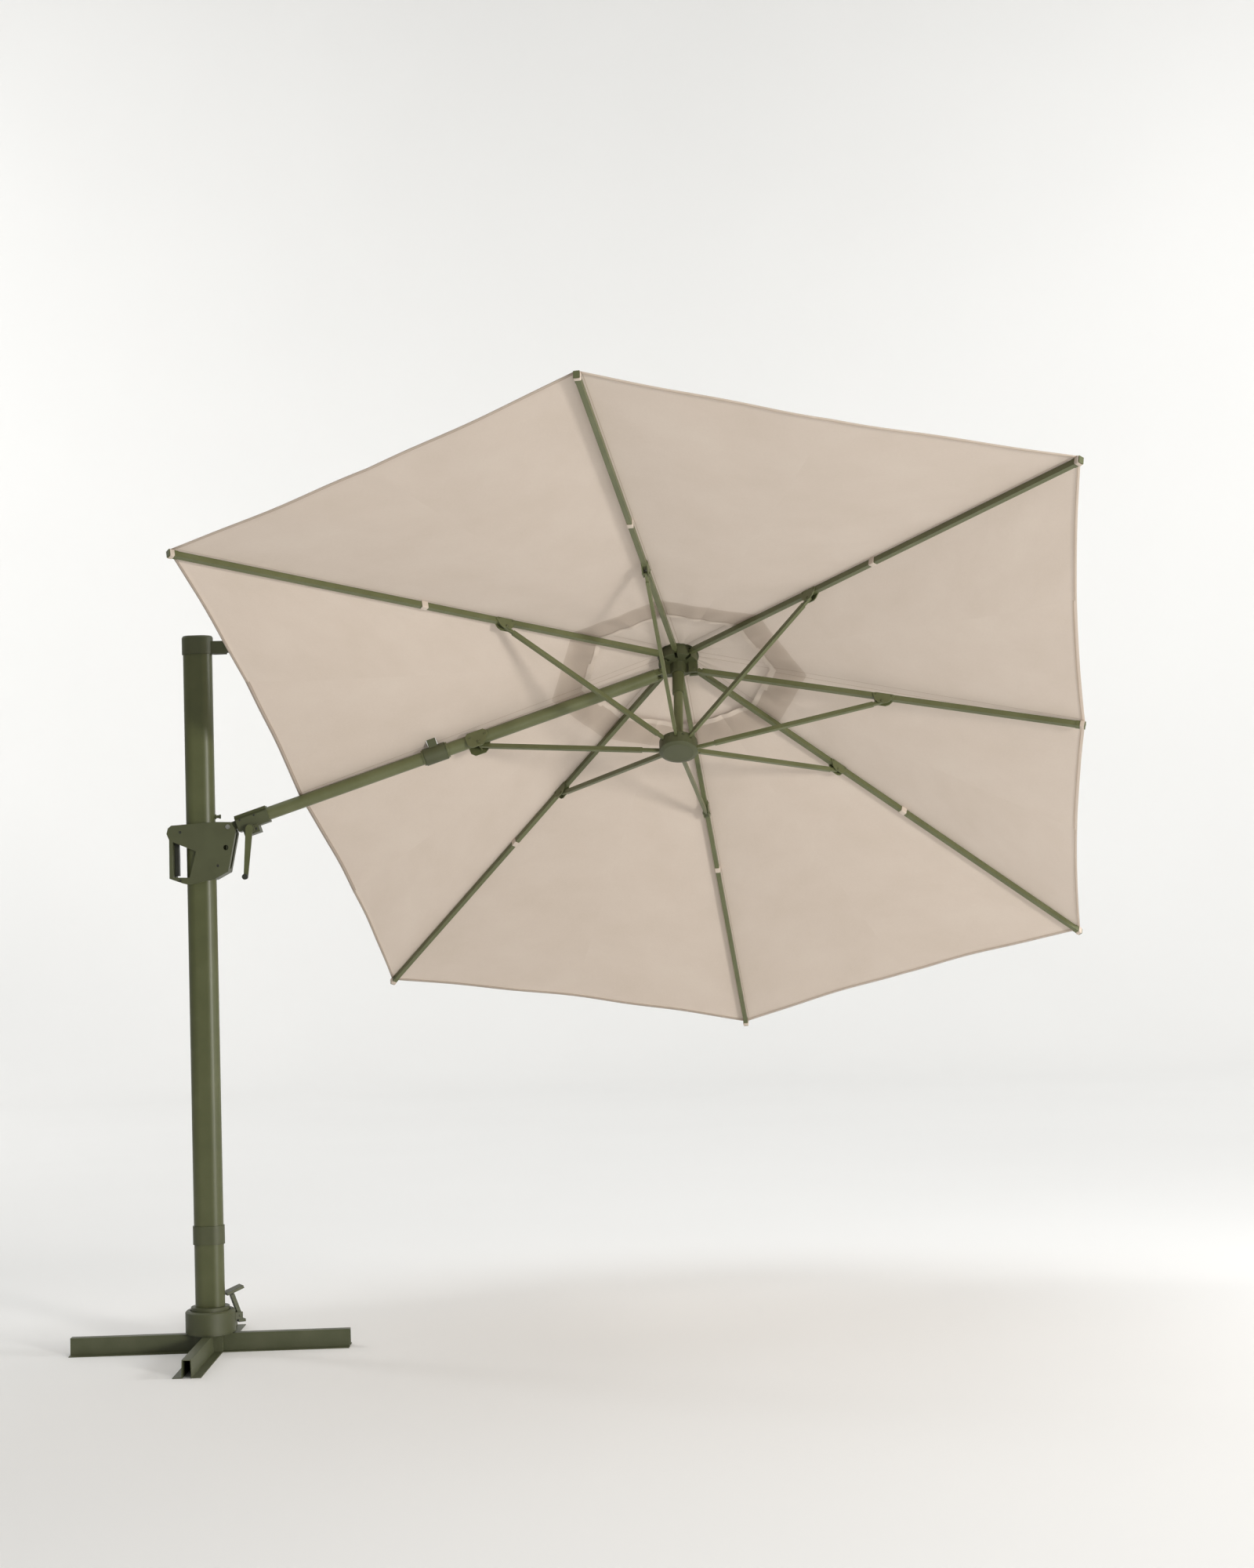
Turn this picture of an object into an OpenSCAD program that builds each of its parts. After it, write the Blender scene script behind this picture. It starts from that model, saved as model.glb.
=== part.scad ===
// Cantilever patio umbrella on a four-legged cross base.
// All sizes are millimetres. +Z is up, +X points from the mast towards the canopy, and the floor is z = 0.

/* [Show] */
// Which piece to draw

/* [Base] */
// Distance from the mast axis to the end of each leg
leg_reach = 500; // [400:10:600]
// Height of the folded steel leg
leg_height = 62; // [40:1:90]
// Width over the two flanges of a leg
leg_width = 98; // [70:1:140]
// Width of the raised box of a leg
leg_box = 36; // [26:1:60]
// Thickness of the leg steel
leg_wall = 3; // [2:0.5:5]
// Outer diameter of the round base collar
collar_d = 178; // [150:1:220]
// Height of the top of the base collar
collar_top = 146; // [120:1:180]
// Direction of the foot pedal round the collar
pedal_az = 27; // [0:1:60]
// Diameter of the swivel pin
swivel_d = 48; // [30:1:60]

/* [Mast] */
// Long side of the oval mast
mast_x = 106; // [80:1:130]
// Short side of the oval mast
mast_y = 72; // [50:1:90]
// Wall of the mast tubes
mast_wall = 2; // [1.5:0.5:4]
// Height where the two mast tubes meet
mast_joint_z = 412; // [350:1:700]
// Height of the top of the mast cap
mast_top = 2580.6; // [2300:1:2800]

/* [Lift linkage] */
// Distance in front of the mast axis of the two linkage pivots
pivot_x = 105; // [85:1:130]
// Height of the upper link pivot
link_pin_z = 2536; // [2300:1:2700]
// Height of the carriage pivot with the canopy up
carriage_pin_z = 1878.3; // [1700:0.1:2000]
// Distance along the boom to the tilt collar
collar_along = 795; // [600:1:900]
// Rise of the boom above level
boom_rise = 18; // [10:0.5:30]

/* [Boom] */
// Boom tube diameter
boom_d = 48; // [38:1:60]
// Boom tube wall
boom_wall = 2; // [1.5:0.5:4]
// Distance along the boom from its pivot to the foot of the crown axis
boom_length = 1738; // [1400:1:2000]
// Angle between the boom and the plane of the canopy
boom_slope = 18; // [12:0.5:24]
// Sideways tilt of the canopy about the boom
canopy_tilt = 32; // [0:1:32]
// Height of the crown centre over the boom axis
crown_rise = 32.4; // [20:0.1:50]

/* [Ribs] */
// Radius of every rib pivot on the crown, and of every stay pivot on the lower hub
pivot_r = 60; // [55:1:70]
// Reach of the long ribs
long_reach = 2000; // [1500:10:2300]
// Reach of the short rib
short_reach = 1432; // [1000:10:1600]
// Slope of the long ribs
long_slope = 13.5; // [8:0.5:20]
// Slope of the short rib
short_slope = 16; // [8:0.5:22]
// How far the short rib pivot and the boom pivot sit under the long rib pivots
short_drop = 51.9; // [40:0.1:60]
// Rib width
rib_w = 16; // [14:1:24]
// Rib height
rib_h = 20; // [18:1:36]
// Distance from a rib pivot to its stay bracket
bracket_along = 712.8; // [600:0.1:800]
// The same distance on the short rib
short_bracket_along = 707.5; // [600:0.1:800]
// The same distance on the boom
boom_bracket_along = 716; // [600:0.1:800]
// How far the bracket pin sits under the rib centre line
bracket_drop = 22; // [19:1:30]
// How far the bracket pin sits under the boom centre line
boom_bracket_drop = 33; // [31:1:40]
// Stay width
stay_w = 12; // [8:1:16]
// Stay height
stay_h = 17; // [14:1:26]
// How far the short stays sit under the long ones at the lower hub
hub_step = 20; // [16:1:30]

/* [Canopy] */
// Cloth thickness
cloth_t = 1; // [0.6:0.1:2]
// Radius of the inner edge of the main cloth
vent_in = 340; // [250:10:420]
// Radius of the outer edge of the vent flap
vent_out = 470; // [400:10:560]
// Height of the vent flap over the main cloth
vent_lift = 15; // [6:1:30]
// How far the cloth edge curves inwards between two ribs, as a share of the rib length
edge_curve = 0.017; // [0:0.001:0.04]

/* [Carriage] */
// Thickness of the carriage across the mast
carriage_w = 95; // [84:1:110]
// Length of the crank arm
crank_length = 176; // [120:1:220]

/* [Hidden] */
$fn = 48;
gap = 0.3;
frame_c = "#5B5F3F";
cloth_c = "#CFC1B2";
long_angle = long_slope + atan2(bracket_drop, bracket_along);
link_b = norm([bracket_along, bracket_drop]);
hub_level = 2 * link_b * sin(long_angle);
long_pin_r = pivot_r + link_b * cos(long_angle);
long_pin_z = -link_b * sin(long_angle);
short_angle = short_slope + atan2(bracket_drop, short_bracket_along);
short_b = norm([short_bracket_along, bracket_drop]);
short_pin_r = pivot_r + short_b * cos(short_angle);
short_pin_z = -short_drop - short_b * sin(short_angle);
boom_hinge_along = boom_length - (short_drop - crown_rise) * sin(boom_slope) - pivot_r * cos(boom_slope);
boom_angle = boom_slope + atan2(boom_bracket_drop, boom_bracket_along);
boom_b = norm([boom_bracket_along, boom_bracket_drop]);
boom_pin_r = pivot_r + boom_b * cos(boom_angle);
boom_pin_z = -short_drop - boom_b * sin(boom_angle);
rise_at_collar = (link_pin_z - carriage_pin_z) / 2;
collar_up = (rise_at_collar - collar_along * sin(boom_rise)) / cos(boom_rise);
link_length = norm([collar_along, collar_up]);
link_angle = boom_rise + atan2(collar_up, collar_along);
rim_r = 84;
long_len = (long_reach - pivot_r) / cos(long_slope);
short_len = (short_reach - pivot_r) / cos(short_slope);
cloth_up = rib_h / 2 + 4;
spoke_az = [0, 45, 90, 135, 180, 225, 270, 315];
spoke_end = [short_reach, long_reach, long_reach, long_reach, 1400, long_reach, long_reach, long_reach];
long_rim_z = cloth_up / cos(long_slope) - (rim_r - pivot_r) * tan(long_slope);
long_end_z = cloth_up / cos(long_slope) - (long_reach - pivot_r) * tan(long_slope);
short_end_z = cloth_up / cos(short_slope) - short_drop - (short_reach - pivot_r) * tan(short_slope);
boom_end_z = (boom_d / 2 + 3) / cos(boom_slope) - short_drop - (1400 - pivot_r) * tan(boom_slope);
spoke_rim_z = [for (k = [0:7]) (k % 4 == 0) ? long_rim_z - 4 : long_rim_z];
spoke_end_z = [short_end_z, long_end_z, long_end_z, long_end_z, boom_end_z, long_end_z, long_end_z, long_end_z];

// ---------- frames ----------

module in_boom() {
  translate([pivot_x, 0, carriage_pin_z]) rotate([0, -boom_rise, 0]) children();
}

module in_roll() {
  in_boom() rotate([-canopy_tilt, 0, 0]) children();
}

module in_crown() {
  in_roll() translate([boom_length, 0, 0]) rotate([0, boom_slope, 0]) translate([0, 0, crown_rise]) children();
}

module at_rib(az, slope, drop) {
  in_crown() rotate([0, 0, az]) translate([pivot_r, 0, -drop]) rotate([0, slope, 0]) children();
}

module at_stay(az, r, z, angle) {
  in_crown() rotate([0, 0, az]) translate([r, 0, z]) rotate([0, 180 - angle, 0]) children();
}

// ---------- small shapes ----------

module oval(x, y) {
  hull() {
    translate([(x - y) / 2, 0]) circle(d = y);
    translate([-(x - y) / 2, 0]) circle(d = y);
  }
}

module oval_tube(x, y, wall, height) {
  linear_extrude(height) difference() {
    oval(x, y);
    oval(x - 2 * wall, y - 2 * wall);
  }
}

module pin_y(r, length) {
  rotate([90, 0, 0]) cylinder(r = r, h = length, center = true, $fn = 32);
}

module rod_x(r, from, to, sides = 48) {
  translate([from, 0, 0]) rotate([0, 90, 0]) cylinder(r = r, h = to - from, $fn = sides);
}

module bar_x(from, to, w, h) {
  translate([from, -w / 2, -h / 2]) cube([to - from, w, h]);
}

module eye(r, w) {
  rotate([90, 0, 0]) cylinder(r = r, h = w, center = true, $fn = 32);
}

module screw_y(r, from, to) {
  translate([0, to, 0]) rotate([90, 0, 0]) cylinder(r = r, h = to - from, $fn = 24);
}

// ---------- base ----------

module leg(az) {
  half = leg_width / 2;
  box = leg_box / 2;
  color(frame_c) rotate([0, 0, az]) translate([half + gap, 0, 0]) rotate([90, 0, 90])
    linear_extrude(leg_reach - half - gap) polygon([
      [-half, 0], [-box + leg_wall, 0], [-box + leg_wall + 2, leg_height - leg_wall],
      [box - leg_wall - 2, leg_height - leg_wall], [box - leg_wall, 0], [half, 0],
      [half, leg_wall], [box, leg_wall], [box - 2, leg_height], [-box + 2, leg_height],
      [-box, leg_wall], [-half, leg_wall]
    ]);
}

module leg_left() { leg(180); }
module leg_right() { leg(0); }
module leg_front() { leg(-90); }
module leg_back() { leg(90); }

module hub_block() {
  color(frame_c) {
    difference() {
      translate([-leg_width / 2, -leg_width / 2, 0]) cube([leg_width, leg_width, leg_height]);
      translate([-leg_width / 2 + 5, -leg_width / 2 + 5, -1]) cube([leg_width - 10, leg_width - 10, leg_height - 7]);
    }
    translate([0, 0, leg_height]) cylinder(d = collar_d - 14, h = 6);
  }
}

module swivel_pin() {
  color("#4A4D38") {
    translate([0, 0, leg_height + 6]) cylinder(d = 100, h = 8);
    difference() {
      translate([0, 0, leg_height + 6]) cylinder(d = swivel_d, h = 172);
      translate([0, 0, leg_height + 20]) cylinder(d = swivel_d - 12, h = 172);
    }
  }
}

module base_collar() {
  r = collar_d / 2;
  color(frame_c) {
    rotate_extrude($fn = 96) polygon([
      [r - 5, leg_height + 6], [r, leg_height + 6], [r, collar_top - 6], [r - 6, collar_top],
      [72, collar_top], [72, collar_top - 5], [r - 9, collar_top - 5], [r - 5, collar_top - 9]
    ]);
    rotate([0, 0, pedal_az]) {
      for (s = [-1, 1]) translate([r - 3, s * 17.5 - 3.5, 102]) cube([28, 7, 26]);
      translate([r + 15, 0, 115]) pin_y(4, 46);
    }
  }
}

module base_bolts() {
  color("#3F4130") for (a = [45:90:315]) rotate([0, 0, a]) {
    translate([64, 0, leg_height + 6]) cylinder(r = 11, h = 2, $fn = 32);
    translate([64, 0, leg_height + 8]) cylinder(r = 8.5, h = 7, $fn = 6);
    translate([64, 0, leg_height + 15]) cylinder(r = 5, h = 6, $fn = 24);
  }
}

module foot_pedal() {
  color(frame_c) rotate([0, 0, pedal_az]) translate([collar_d / 2 + 15, 0, 115]) {
    difference() {
      union() {
        eye(9, 27);
        translate([-3, -11, 0]) rotate([0, -20, 0]) cube([14, 22, 80]);
        translate([-3, -11, -16]) cube([12, 22, 16]);
      }
      pin_y(4.1, 60);
    }
    translate([-46, -24, 76]) rotate([0, -19, 0]) cube([66, 48, 10]);
    translate([-3, -14, -24]) cube([26, 28, 10]);
  }
}

// ---------- mast ----------

module mast_foot_ring() {
  color(frame_c) difference() {
    union() {
      translate([0, 0, collar_top - 4.7]) cylinder(d = 137, h = 16.7, $fn = 96);
      translate([0, 0, collar_top + 12]) cylinder(d = 64, h = 80);
    }
    translate([0, 0, collar_top - 10]) cylinder(d = swivel_d + 0.2, h = 110, $fn = 96);
  }
}

module lower_mast() {
  z = collar_top + 12;
  color(frame_c) translate([0, 0, z]) oval_tube(mast_x, mast_y, mast_wall, mast_joint_z - z - 0.2);
}

module joint_sleeve() {
  color(frame_c) translate([0, 0, mast_joint_z - 33]) difference() {
    linear_extrude(66) oval(mast_x + 8, mast_y + 8);
    translate([0, 0, -1]) linear_extrude(68) oval(mast_x + 0.1, mast_y + 0.1);
    for (h = [15, 51]) translate([12, mast_y / 2 + 4.5, h]) pin_y(4.3, 4);
  }
}

module upper_mast() {
  color(frame_c) translate([0, 0, mast_joint_z]) oval_tube(mast_x, mast_y, mast_wall, mast_top - 24 - mast_joint_z);
}

module top_cap() {
  z = mast_top - 67;
  color(frame_c) {
    difference() {
      union() {
        translate([0, 0, z]) linear_extrude(61) oval(mast_x + 7, mast_y + 7);
        translate([0, 0, z + 61]) linear_extrude(6, scale = 0.93) oval(mast_x + 7, mast_y + 7);
        translate([20, -19, link_pin_z - 22]) cube([pivot_x - 20, 38, 46]);
        translate([pivot_x, 0, link_pin_z]) eye(17, 38);
      }
      translate([0, 0, z - 1]) linear_extrude(44.1) oval(mast_x + 0.1, mast_y + 0.1);
      translate([mast_x / 2 + 5, -12.5, z - 10]) cube([120, 25, 100]);
      translate([pivot_x, 0, link_pin_z]) pin_y(5, 90);
    }
    translate([pivot_x, 0, link_pin_z]) pin_y(5, 42);
  }
}

module stop_peg() {
  color(frame_c) translate([mast_x / 2, 0, carriage_pin_z + 40]) rotate([0, 90, 0]) {
    cylinder(d = 18, h = 3);
    cylinder(d = 11, h = 14);
    translate([0, 0, 14]) cylinder(d = 15, h = 6);
  }
}

module mast_screws() {
  color("#3F4130") for (z = [mast_joint_z - 18, mast_joint_z + 18])
    translate([12, mast_y / 2 + 4, z]) pin_y(4, 3);
}

// ---------- lift linkage ----------

module link_arm() {
  color(frame_c) translate([pivot_x, 0, link_pin_z]) rotate([0, link_angle, 0]) difference() {
    union() {
      eye(15, 24);
      rod_x(14, 24, link_length - 24);
      bar_x(0, 40, 20, 26);
      bar_x(link_length - 40, link_length, 20, 26);
      translate([link_length, 0, 0]) eye(15, 24);
    }
    pin_y(5.1, 60);
    translate([link_length, 0, 0]) pin_y(5.1, 60);
    rod_x(12, 45, link_length - 45);
  }
}

module boom_socket() {
  color(frame_c) in_boom() difference() {
    union() {
      eye(15, 27);
      translate([0, -13.5, -15]) cube([32, 27, 30]);
      translate([28, 0, 0]) rotate([45, 0, 0]) rotate([0, 90, 0]) cylinder(d = 72, h = 8, $fn = 4);
      translate([30, -30, -30]) cube([118, 60, 60]);
      translate([46, -38, -54]) cube([58, 76, 30]);
      translate([72, 0, -32]) rotate([90, 0, 0]) cylinder(r = 17, h = 92, center = true);
    }
    pin_y(6.1, 60);
    rod_x(boom_d / 2 + 0.3, 34, 160, 96);
    rod_x(boom_d / 2 + 3.4, 62, 82, 96);
    translate([72, 0, -32]) pin_y(5.4, 120);
    for (s = [-1, 1]) translate([46, s * 34, 17]) rotate([s * 45, 0, 0]) cube([240, 12, 22], center = true);
  }
}

module tilt_collar() {
  color(frame_c) in_boom() {
    difference() {
      union() {
        rod_x(32, collar_along - 42, collar_along + 42, 96);
        for (s = [-1, 1]) {
          translate([collar_along - 16, s * 15.5 - 2.75, 20]) cube([32, 5.5, collar_up - 20]);
          translate([collar_along, s * 15.5, collar_up]) eye(16, 5.5);
        }
      }
      rod_x(boom_d / 2 + 0.3, collar_along - 60, collar_along + 60, 96);
      translate([collar_along, 0, collar_up]) pin_y(5, 60);
    }
    translate([collar_along, 0, collar_up]) pin_y(5, 42);
  }
}

// ---------- boom ----------

module boom_tube() {
  r = boom_d / 2;
  color(frame_c) in_roll() difference() {
    union() {
      rod_x(r, 36, boom_hinge_along - 30, 96);
      for (s = [-1, 1]) rod_x(r + 5, collar_along + s * 46 - 3.2, collar_along + s * 46 + 3.2, 96);
    }
    rod_x(r - boom_wall, 30, boom_hinge_along, 96);
  }
}

module boom_fork() {
  color(frame_c) in_roll() difference() {
    union() {
      rod_x(boom_d / 2, boom_hinge_along - 29.9, boom_hinge_along - 22);
      for (s = [-1, 1]) {
        translate([boom_hinge_along - 26, s * 14.5 - 3.5, -13]) cube([26, 7, 26]);
        translate([boom_hinge_along, s * 14.5, 0]) eye(13, 7);
      }
      translate([boom_hinge_along, 0, 0]) pin_y(5, 42);
      rod_x(boom_d / 2 - boom_wall - 0.1, boom_hinge_along - 60, boom_hinge_along - 24);
    }
    rod_x(boom_d / 2 - 6, boom_hinge_along - 70, boom_hinge_along - 34);
  }
}

module boom_bracket() {
  x = boom_hinge_along - boom_bracket_along;
  color(frame_c) in_roll() {
    difference() {
      union() {
        translate([x, 0, 0]) rotate([90, 0, 0]) linear_extrude(56, center = true)
          polygon([[-44, 4], [-32, 17], [28, 17], [44, 0], [26, -38], [12, -50], [-28, -50], [-42, -34]]);
      }
      rod_x(boom_d / 2 + 0.05, x - 80, x + 80, 96);
      translate([x - 60, -24.5, -60]) cube([120, 49, 100]);
    }
    translate([x, 0, -boom_bracket_drop]) pin_y(4, 60);
  }
}

module worm_wheel() {
  color("#8A8C86") in_roll() difference() {
    rod_x(boom_d / 2 + 2.6, 64, 80, 96);
    rod_x(boom_d / 2 + 0.05, 60, 90, 96);
    for (a = [0:15:345]) rotate([a, 0, 0]) translate([72, 0, boom_d / 2 + 3]) cube([30, 2, 2.4], center = true);
  }
}

// ---------- crank ----------

module crank_arm() {
  color(frame_c) in_boom() translate([72, 0, -32]) rotate([0, boom_rise + 5, 0]) {
    translate([0, -14, 0]) pin_y(5, 78);
    translate([0, -56, 0]) rotate([90, 0, 0]) linear_extrude(8, center = true) hull() {
      circle(d = 26);
      translate([0, -crank_length]) circle(d = 16);
    }
    translate([0, -50, 0]) pin_y(9, 6);
    translate([0, -67, -crank_length]) pin_y(4, 22);
  }
}

module crank_knob() {
  color("#2E3022") in_boom() translate([72, 0, -32]) rotate([0, boom_rise + 5, 0])
    translate([0, -73, -crank_length]) difference() {
      union() {
        pin_y(9.5, 24);
        translate([0, -10, 0]) pin_y(10.5, 4);
      }
      translate([0, 4, 0]) pin_y(4.1, 20);
    }
}

// ---------- carriage ----------

module carriage_outline() {
  z = carriage_pin_z;
  polygon([
    [-100, z + 10], [-112, z], [-117, z - 20], [-108, z - 42], [-109, z - 182], [-62, z - 200],
    [-40, z - 206], [54, z - 188], [103, z - 162], [131, z - 24], [128, z - 4], [114, z + 17], [60, z + 19]
  ]);
}

module grip_opening() {
  z = carriage_pin_z;
  polygon([[-95, z - 50], [-12, z - 86], [-37, z - 180], [-95, z - 178]]);
}

module carriage_half() {
  w = carriage_w / 2;
  z = carriage_pin_z;
  color(frame_c) {
    difference() {
      rotate([90, 0, 0]) linear_extrude(w) carriage_outline();
      rotate([90, 0, 0]) translate([0, 0, -1]) linear_extrude(w + 9) grip_opening();
      translate([0, 0, z - 300]) linear_extrude(500) oval(mast_x + 1, mast_y + 1);
      translate([62, -17, z - 150]) cube([120, 40, 200]);
      translate([62, -40, z - 150]) cube([34, 60, 100]);
      translate([pivot_x, 0, z]) pin_y(6, 200);
      translate([96, -w, z - 75]) pin_y(9.5, 16);
      for (p = [[-68, -15], [-70, -190], [66, -140]]) translate([p[0], -w, z + p[1]]) pin_y(5, 6);
      translate([-104, -12.6, z - 178]) cube([32, 30, 150]);
    }
    translate([-87.5, -10, z - 42]) pin_y(3, 20);
  }
}

module carriage_front() { translate([0, -gap / 2, 0]) carriage_half(); }
module carriage_rear() { mirror([0, 1, 0]) translate([0, -gap / 2, 0]) carriage_half(); }

module carriage_screws() {
  color("#2E3022") for (p = [[-68, -15], [-70, -190], [66, -140]], s = [-1, 1])
    translate([p[0], s * (carriage_w / 2 - 1.4), carriage_pin_z + p[1]]) pin_y(4.6, 2.4);
}

module carriage_pin() {
  color("#8A8C86") translate([pivot_x, 0, carriage_pin_z]) {
    pin_y(5.95, carriage_w + 3);
    for (s = [-1, 1]) translate([0, s * (carriage_w / 2 + 1.75), 0]) pin_y(8.5, 3);
  }
}

module grip_trigger() {
  z = carriage_pin_z;
  color("#4A4D38") difference() {
    rotate([90, 0, 0]) linear_extrude(24, center = true) polygon([
      [-94.5, z - 33], [-80.5, z - 33], [-79, z - 100], [-79, z - 172], [-94.5, z - 172]
    ]);
    translate([-87.5, 0, z - 42]) pin_y(3.1, 60);
  }
}

// ---------- crown and lower hub ----------

module spoke_slot(az, from, w, z_low, z_high) {
  rotate([0, 0, az]) translate([from, -w / 2, z_low]) cube([90, w, z_high - z_low]);
}

module crown_hub() {
  color(frame_c) in_crown() {
    difference() {
      union() {
        translate([0, 0, -20]) cylinder(r = 72, h = 38, $fn = 96);
        translate([0, 0, -62]) cylinder(r = 27, h = 50);
        translate([40, -14, -66]) cube([32, 28, 50]);
        translate([20, -6, -62]) cube([30, 12, 50]);
        translate([-60, -10.6, -64.9]) cube([38, 21.2, 50]);
        translate([-pivot_r, 0, -short_drop]) eye(13, 21.2);
      }
      for (a = [45, 90, 135, 225, 270, 315]) {
        spoke_slot(a, 42, 11, -30, 14);
        rotate([0, 0, a]) translate([pivot_r, 0, 0]) pin_y(3, 60);
      }
      spoke_slot(0, 44, 11, -80, -30);
      translate([pivot_r, 0, -short_drop]) pin_y(3, 60);
      translate([-pivot_r, 0, -short_drop]) pin_y(5.1, 60);
    }
    for (a = [45, 90, 135, 225, 270, 315]) rotate([0, 0, a]) translate([pivot_r, 0, 0]) pin_y(3, 17);
    translate([pivot_r, 0, -short_drop]) pin_y(3, 32);
  }
}

module crown_cap() {
  color(frame_c) in_crown() translate([0, 0, 18]) {
    cylinder(r = 76, h = 5, $fn = 96);
    translate([0, 0, 5]) cylinder(r1 = 60, r2 = 20, h = 12, $fn = 96);
    translate([0, 0, 17]) cylinder(r = 13, h = 12);
  }
}

module crown_sleeve() {
  color(frame_c) in_crown() translate([0, 0, -150]) difference() {
    cylinder(r = 21.5, h = 88);
    translate([0, 0, -1]) cylinder(r = 17.4, h = 90);
  }
}

module lower_hub() {
  color(frame_c) in_crown() translate([0, 0, -hub_level]) {
    difference() {
      union() {
        translate([0, 0, -32]) cylinder(r = 69, h = 42, $fn = 96);
        translate([0, 0, -38]) cylinder(r1 = 54, r2 = 69, h = 6, $fn = 96);
      }
      for (a = [45, 90, 135, 225, 270, 315]) {
        spoke_slot(a, 46, 11, -10, 40);
        rotate([0, 0, a]) translate([pivot_r, 0, 0]) pin_y(3, 60);
      }
      for (a = [0, 180]) spoke_slot(a, 16, 11, -hub_step - 10, 40);
    }
    for (a = [45, 90, 135, 225, 270, 315]) rotate([0, 0, a]) translate([pivot_r, 0, 0]) pin_y(3, 17);
  }
}

module hub_tube() {
  color(frame_c) in_crown() translate([0, 0, -hub_level + 10]) difference() {
    cylinder(r = 17, h = hub_level - 80);
    translate([0, 0, 3]) cylinder(r = 15, h = hub_level);
  }
}

// ---------- ribs and stays ----------

module rib(az, slope, drop, length, bracket) {
  color(frame_c) at_rib(az, slope, drop) {
    difference() {
      union() {
        eye(7, 10);
        bar_x(0, 60, 10, 14);
        bar_x(30, length - 4, rib_w, rib_h);
        bar_x(length - 34, length, rib_w + 2, rib_h + 2);
        for (s = [-1, 1]) {
          translate([bracket, s * (rib_w / 2 + 1.5), 0]) rotate([90, 0, 0]) linear_extrude(3.2, center = true)
            polygon([[-40, 6], [-28, 9.6], [34, 9.6], [42, 3], [26, -24], [14, -31], [-14, -31], [-26, -22]]);
        }
      }
      pin_y(3.1, 60);
      bar_x(62, length - 36, rib_w - 3, rib_h - 3);
    }
    translate([bracket, 0, -bracket_drop]) pin_y(4, rib_w + 8);
  }
}

module stay(az, r, z, angle, length, tongue) {
  color(frame_c) at_stay(az, r, z, angle) difference() {
    union() {
      eye(6, 10);
      bar_x(0, 40, 10, 12);
      bar_x(32, length - tongue, stay_w, stay_h);
      bar_x(length - tongue - 10, length, 10, 12);
      translate([length, 0, 0]) eye(6, 10);
    }
    pin_y(4.1, 60);
    translate([length, 0, 0]) pin_y(3.1, 60);
    bar_x(46, length - tongue - 14, stay_w - 3, stay_h - 3);
  }
}

module long_rib(az) { rib(az, long_slope, 0, long_len, bracket_along); }
module long_stay(az) { stay(az, long_pin_r, long_pin_z, long_angle, link_b, 34); }

module low_stay(az, r, z) {
  run = r - pivot_r;
  fall = z + hub_level + hub_step;
  stay(az, r, z, atan2(fall, run), norm([run, fall]), 72);
}

module rib_a() { long_rib(-135); }
module rib_b() { long_rib(-90); }
module rib_c() { long_rib(-45); }
module rib_d() { rib(0, short_slope, short_drop, short_len, short_bracket_along); }
module rib_e() { long_rib(45); }
module rib_f() { long_rib(90); }
module rib_g() { long_rib(135); }
module stay_a() { long_stay(-135); }
module stay_b() { long_stay(-90); }
module stay_c() { long_stay(-45); }
module stay_d() { low_stay(0, short_pin_r, short_pin_z); }
module stay_e() { long_stay(45); }
module stay_f() { long_stay(90); }
module stay_g() { long_stay(135); }
module stay_h() { low_stay(180, boom_pin_r, boom_pin_z); }

// ---------- canopy ----------

function spoke_z(k, r) = spoke_rim_z[k] + (spoke_end_z[k] - spoke_rim_z[k]) * (r - rim_r) / (spoke_end[k] - rim_r);
function on_spoke(k, r, up) = [r * cos(spoke_az[k]), r * sin(spoke_az[k]), spoke_z(k, r) + up];
function blend(a, b, v) = a * (1 - v) + b * v;
function inward(v) = 1 - edge_curve * 4 * v * (1 - v);
function reach(k, from, to, u) = from + ((to > 0 ? to : spoke_end[k]) - from) * u;
function row_u(u, v, to) = to > 0 ? u : u * inward(v);
function shy(a, b) = (b - a) / norm(b - a) * gap;
function sheet_at(k, n, from, to, u, v, up) =
  blend(on_spoke(k, reach(k, from, to, row_u(u, v, to)), up), on_spoke(n, reach(n, from, to, row_u(u, v, to)), up), v);
function sheet_row(k, from, to, u, m, up) = [
  for (j = [-m:m]) let (n = (k + (j < 0 ? 7 : 1)) % 8, v = abs(j) / m / 2, p = sheet_at(k, n, from, to, u, v, up))
    abs(j) == m ? p + shy(p, sheet_at(k, n, from, to, u, v - 0.1, up)) : p
];

module slab(rows, cols, pts) {
  n = rows * cols;
  up = [for (p = pts) p + [0, 0, cloth_t]];
  top = [for (i = [0:rows - 2], j = [0:cols - 2]) let (a = i * cols + j) [a, a + cols, a + 1]];
  top2 = [for (i = [0:rows - 2], j = [0:cols - 2]) let (a = i * cols + j) [a + 1, a + cols, a + cols + 1]];
  low = [for (f = top) [f[2] + n, f[1] + n, f[0] + n]];
  low2 = [for (f = top2) [f[2] + n, f[1] + n, f[0] + n]];
  side_a = [for (j = [0:cols - 2]) [j, j + 1, j + 1 + n, j + n]];
  side_b = [for (j = [0:cols - 2]) let (a = (rows - 1) * cols + j) [a + 1, a, a + n, a + 1 + n]];
  side_c = [for (i = [0:rows - 2]) let (a = i * cols) [a + cols, a, a + n, a + cols + n]];
  side_d = [for (i = [0:rows - 2]) let (a = i * cols + cols - 1) [a, a + cols, a + cols + n, a + n]];
  polyhedron(points = concat(up, pts), faces = concat(top, top2, low, low2, side_a, side_b, side_c, side_d));
}

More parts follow.
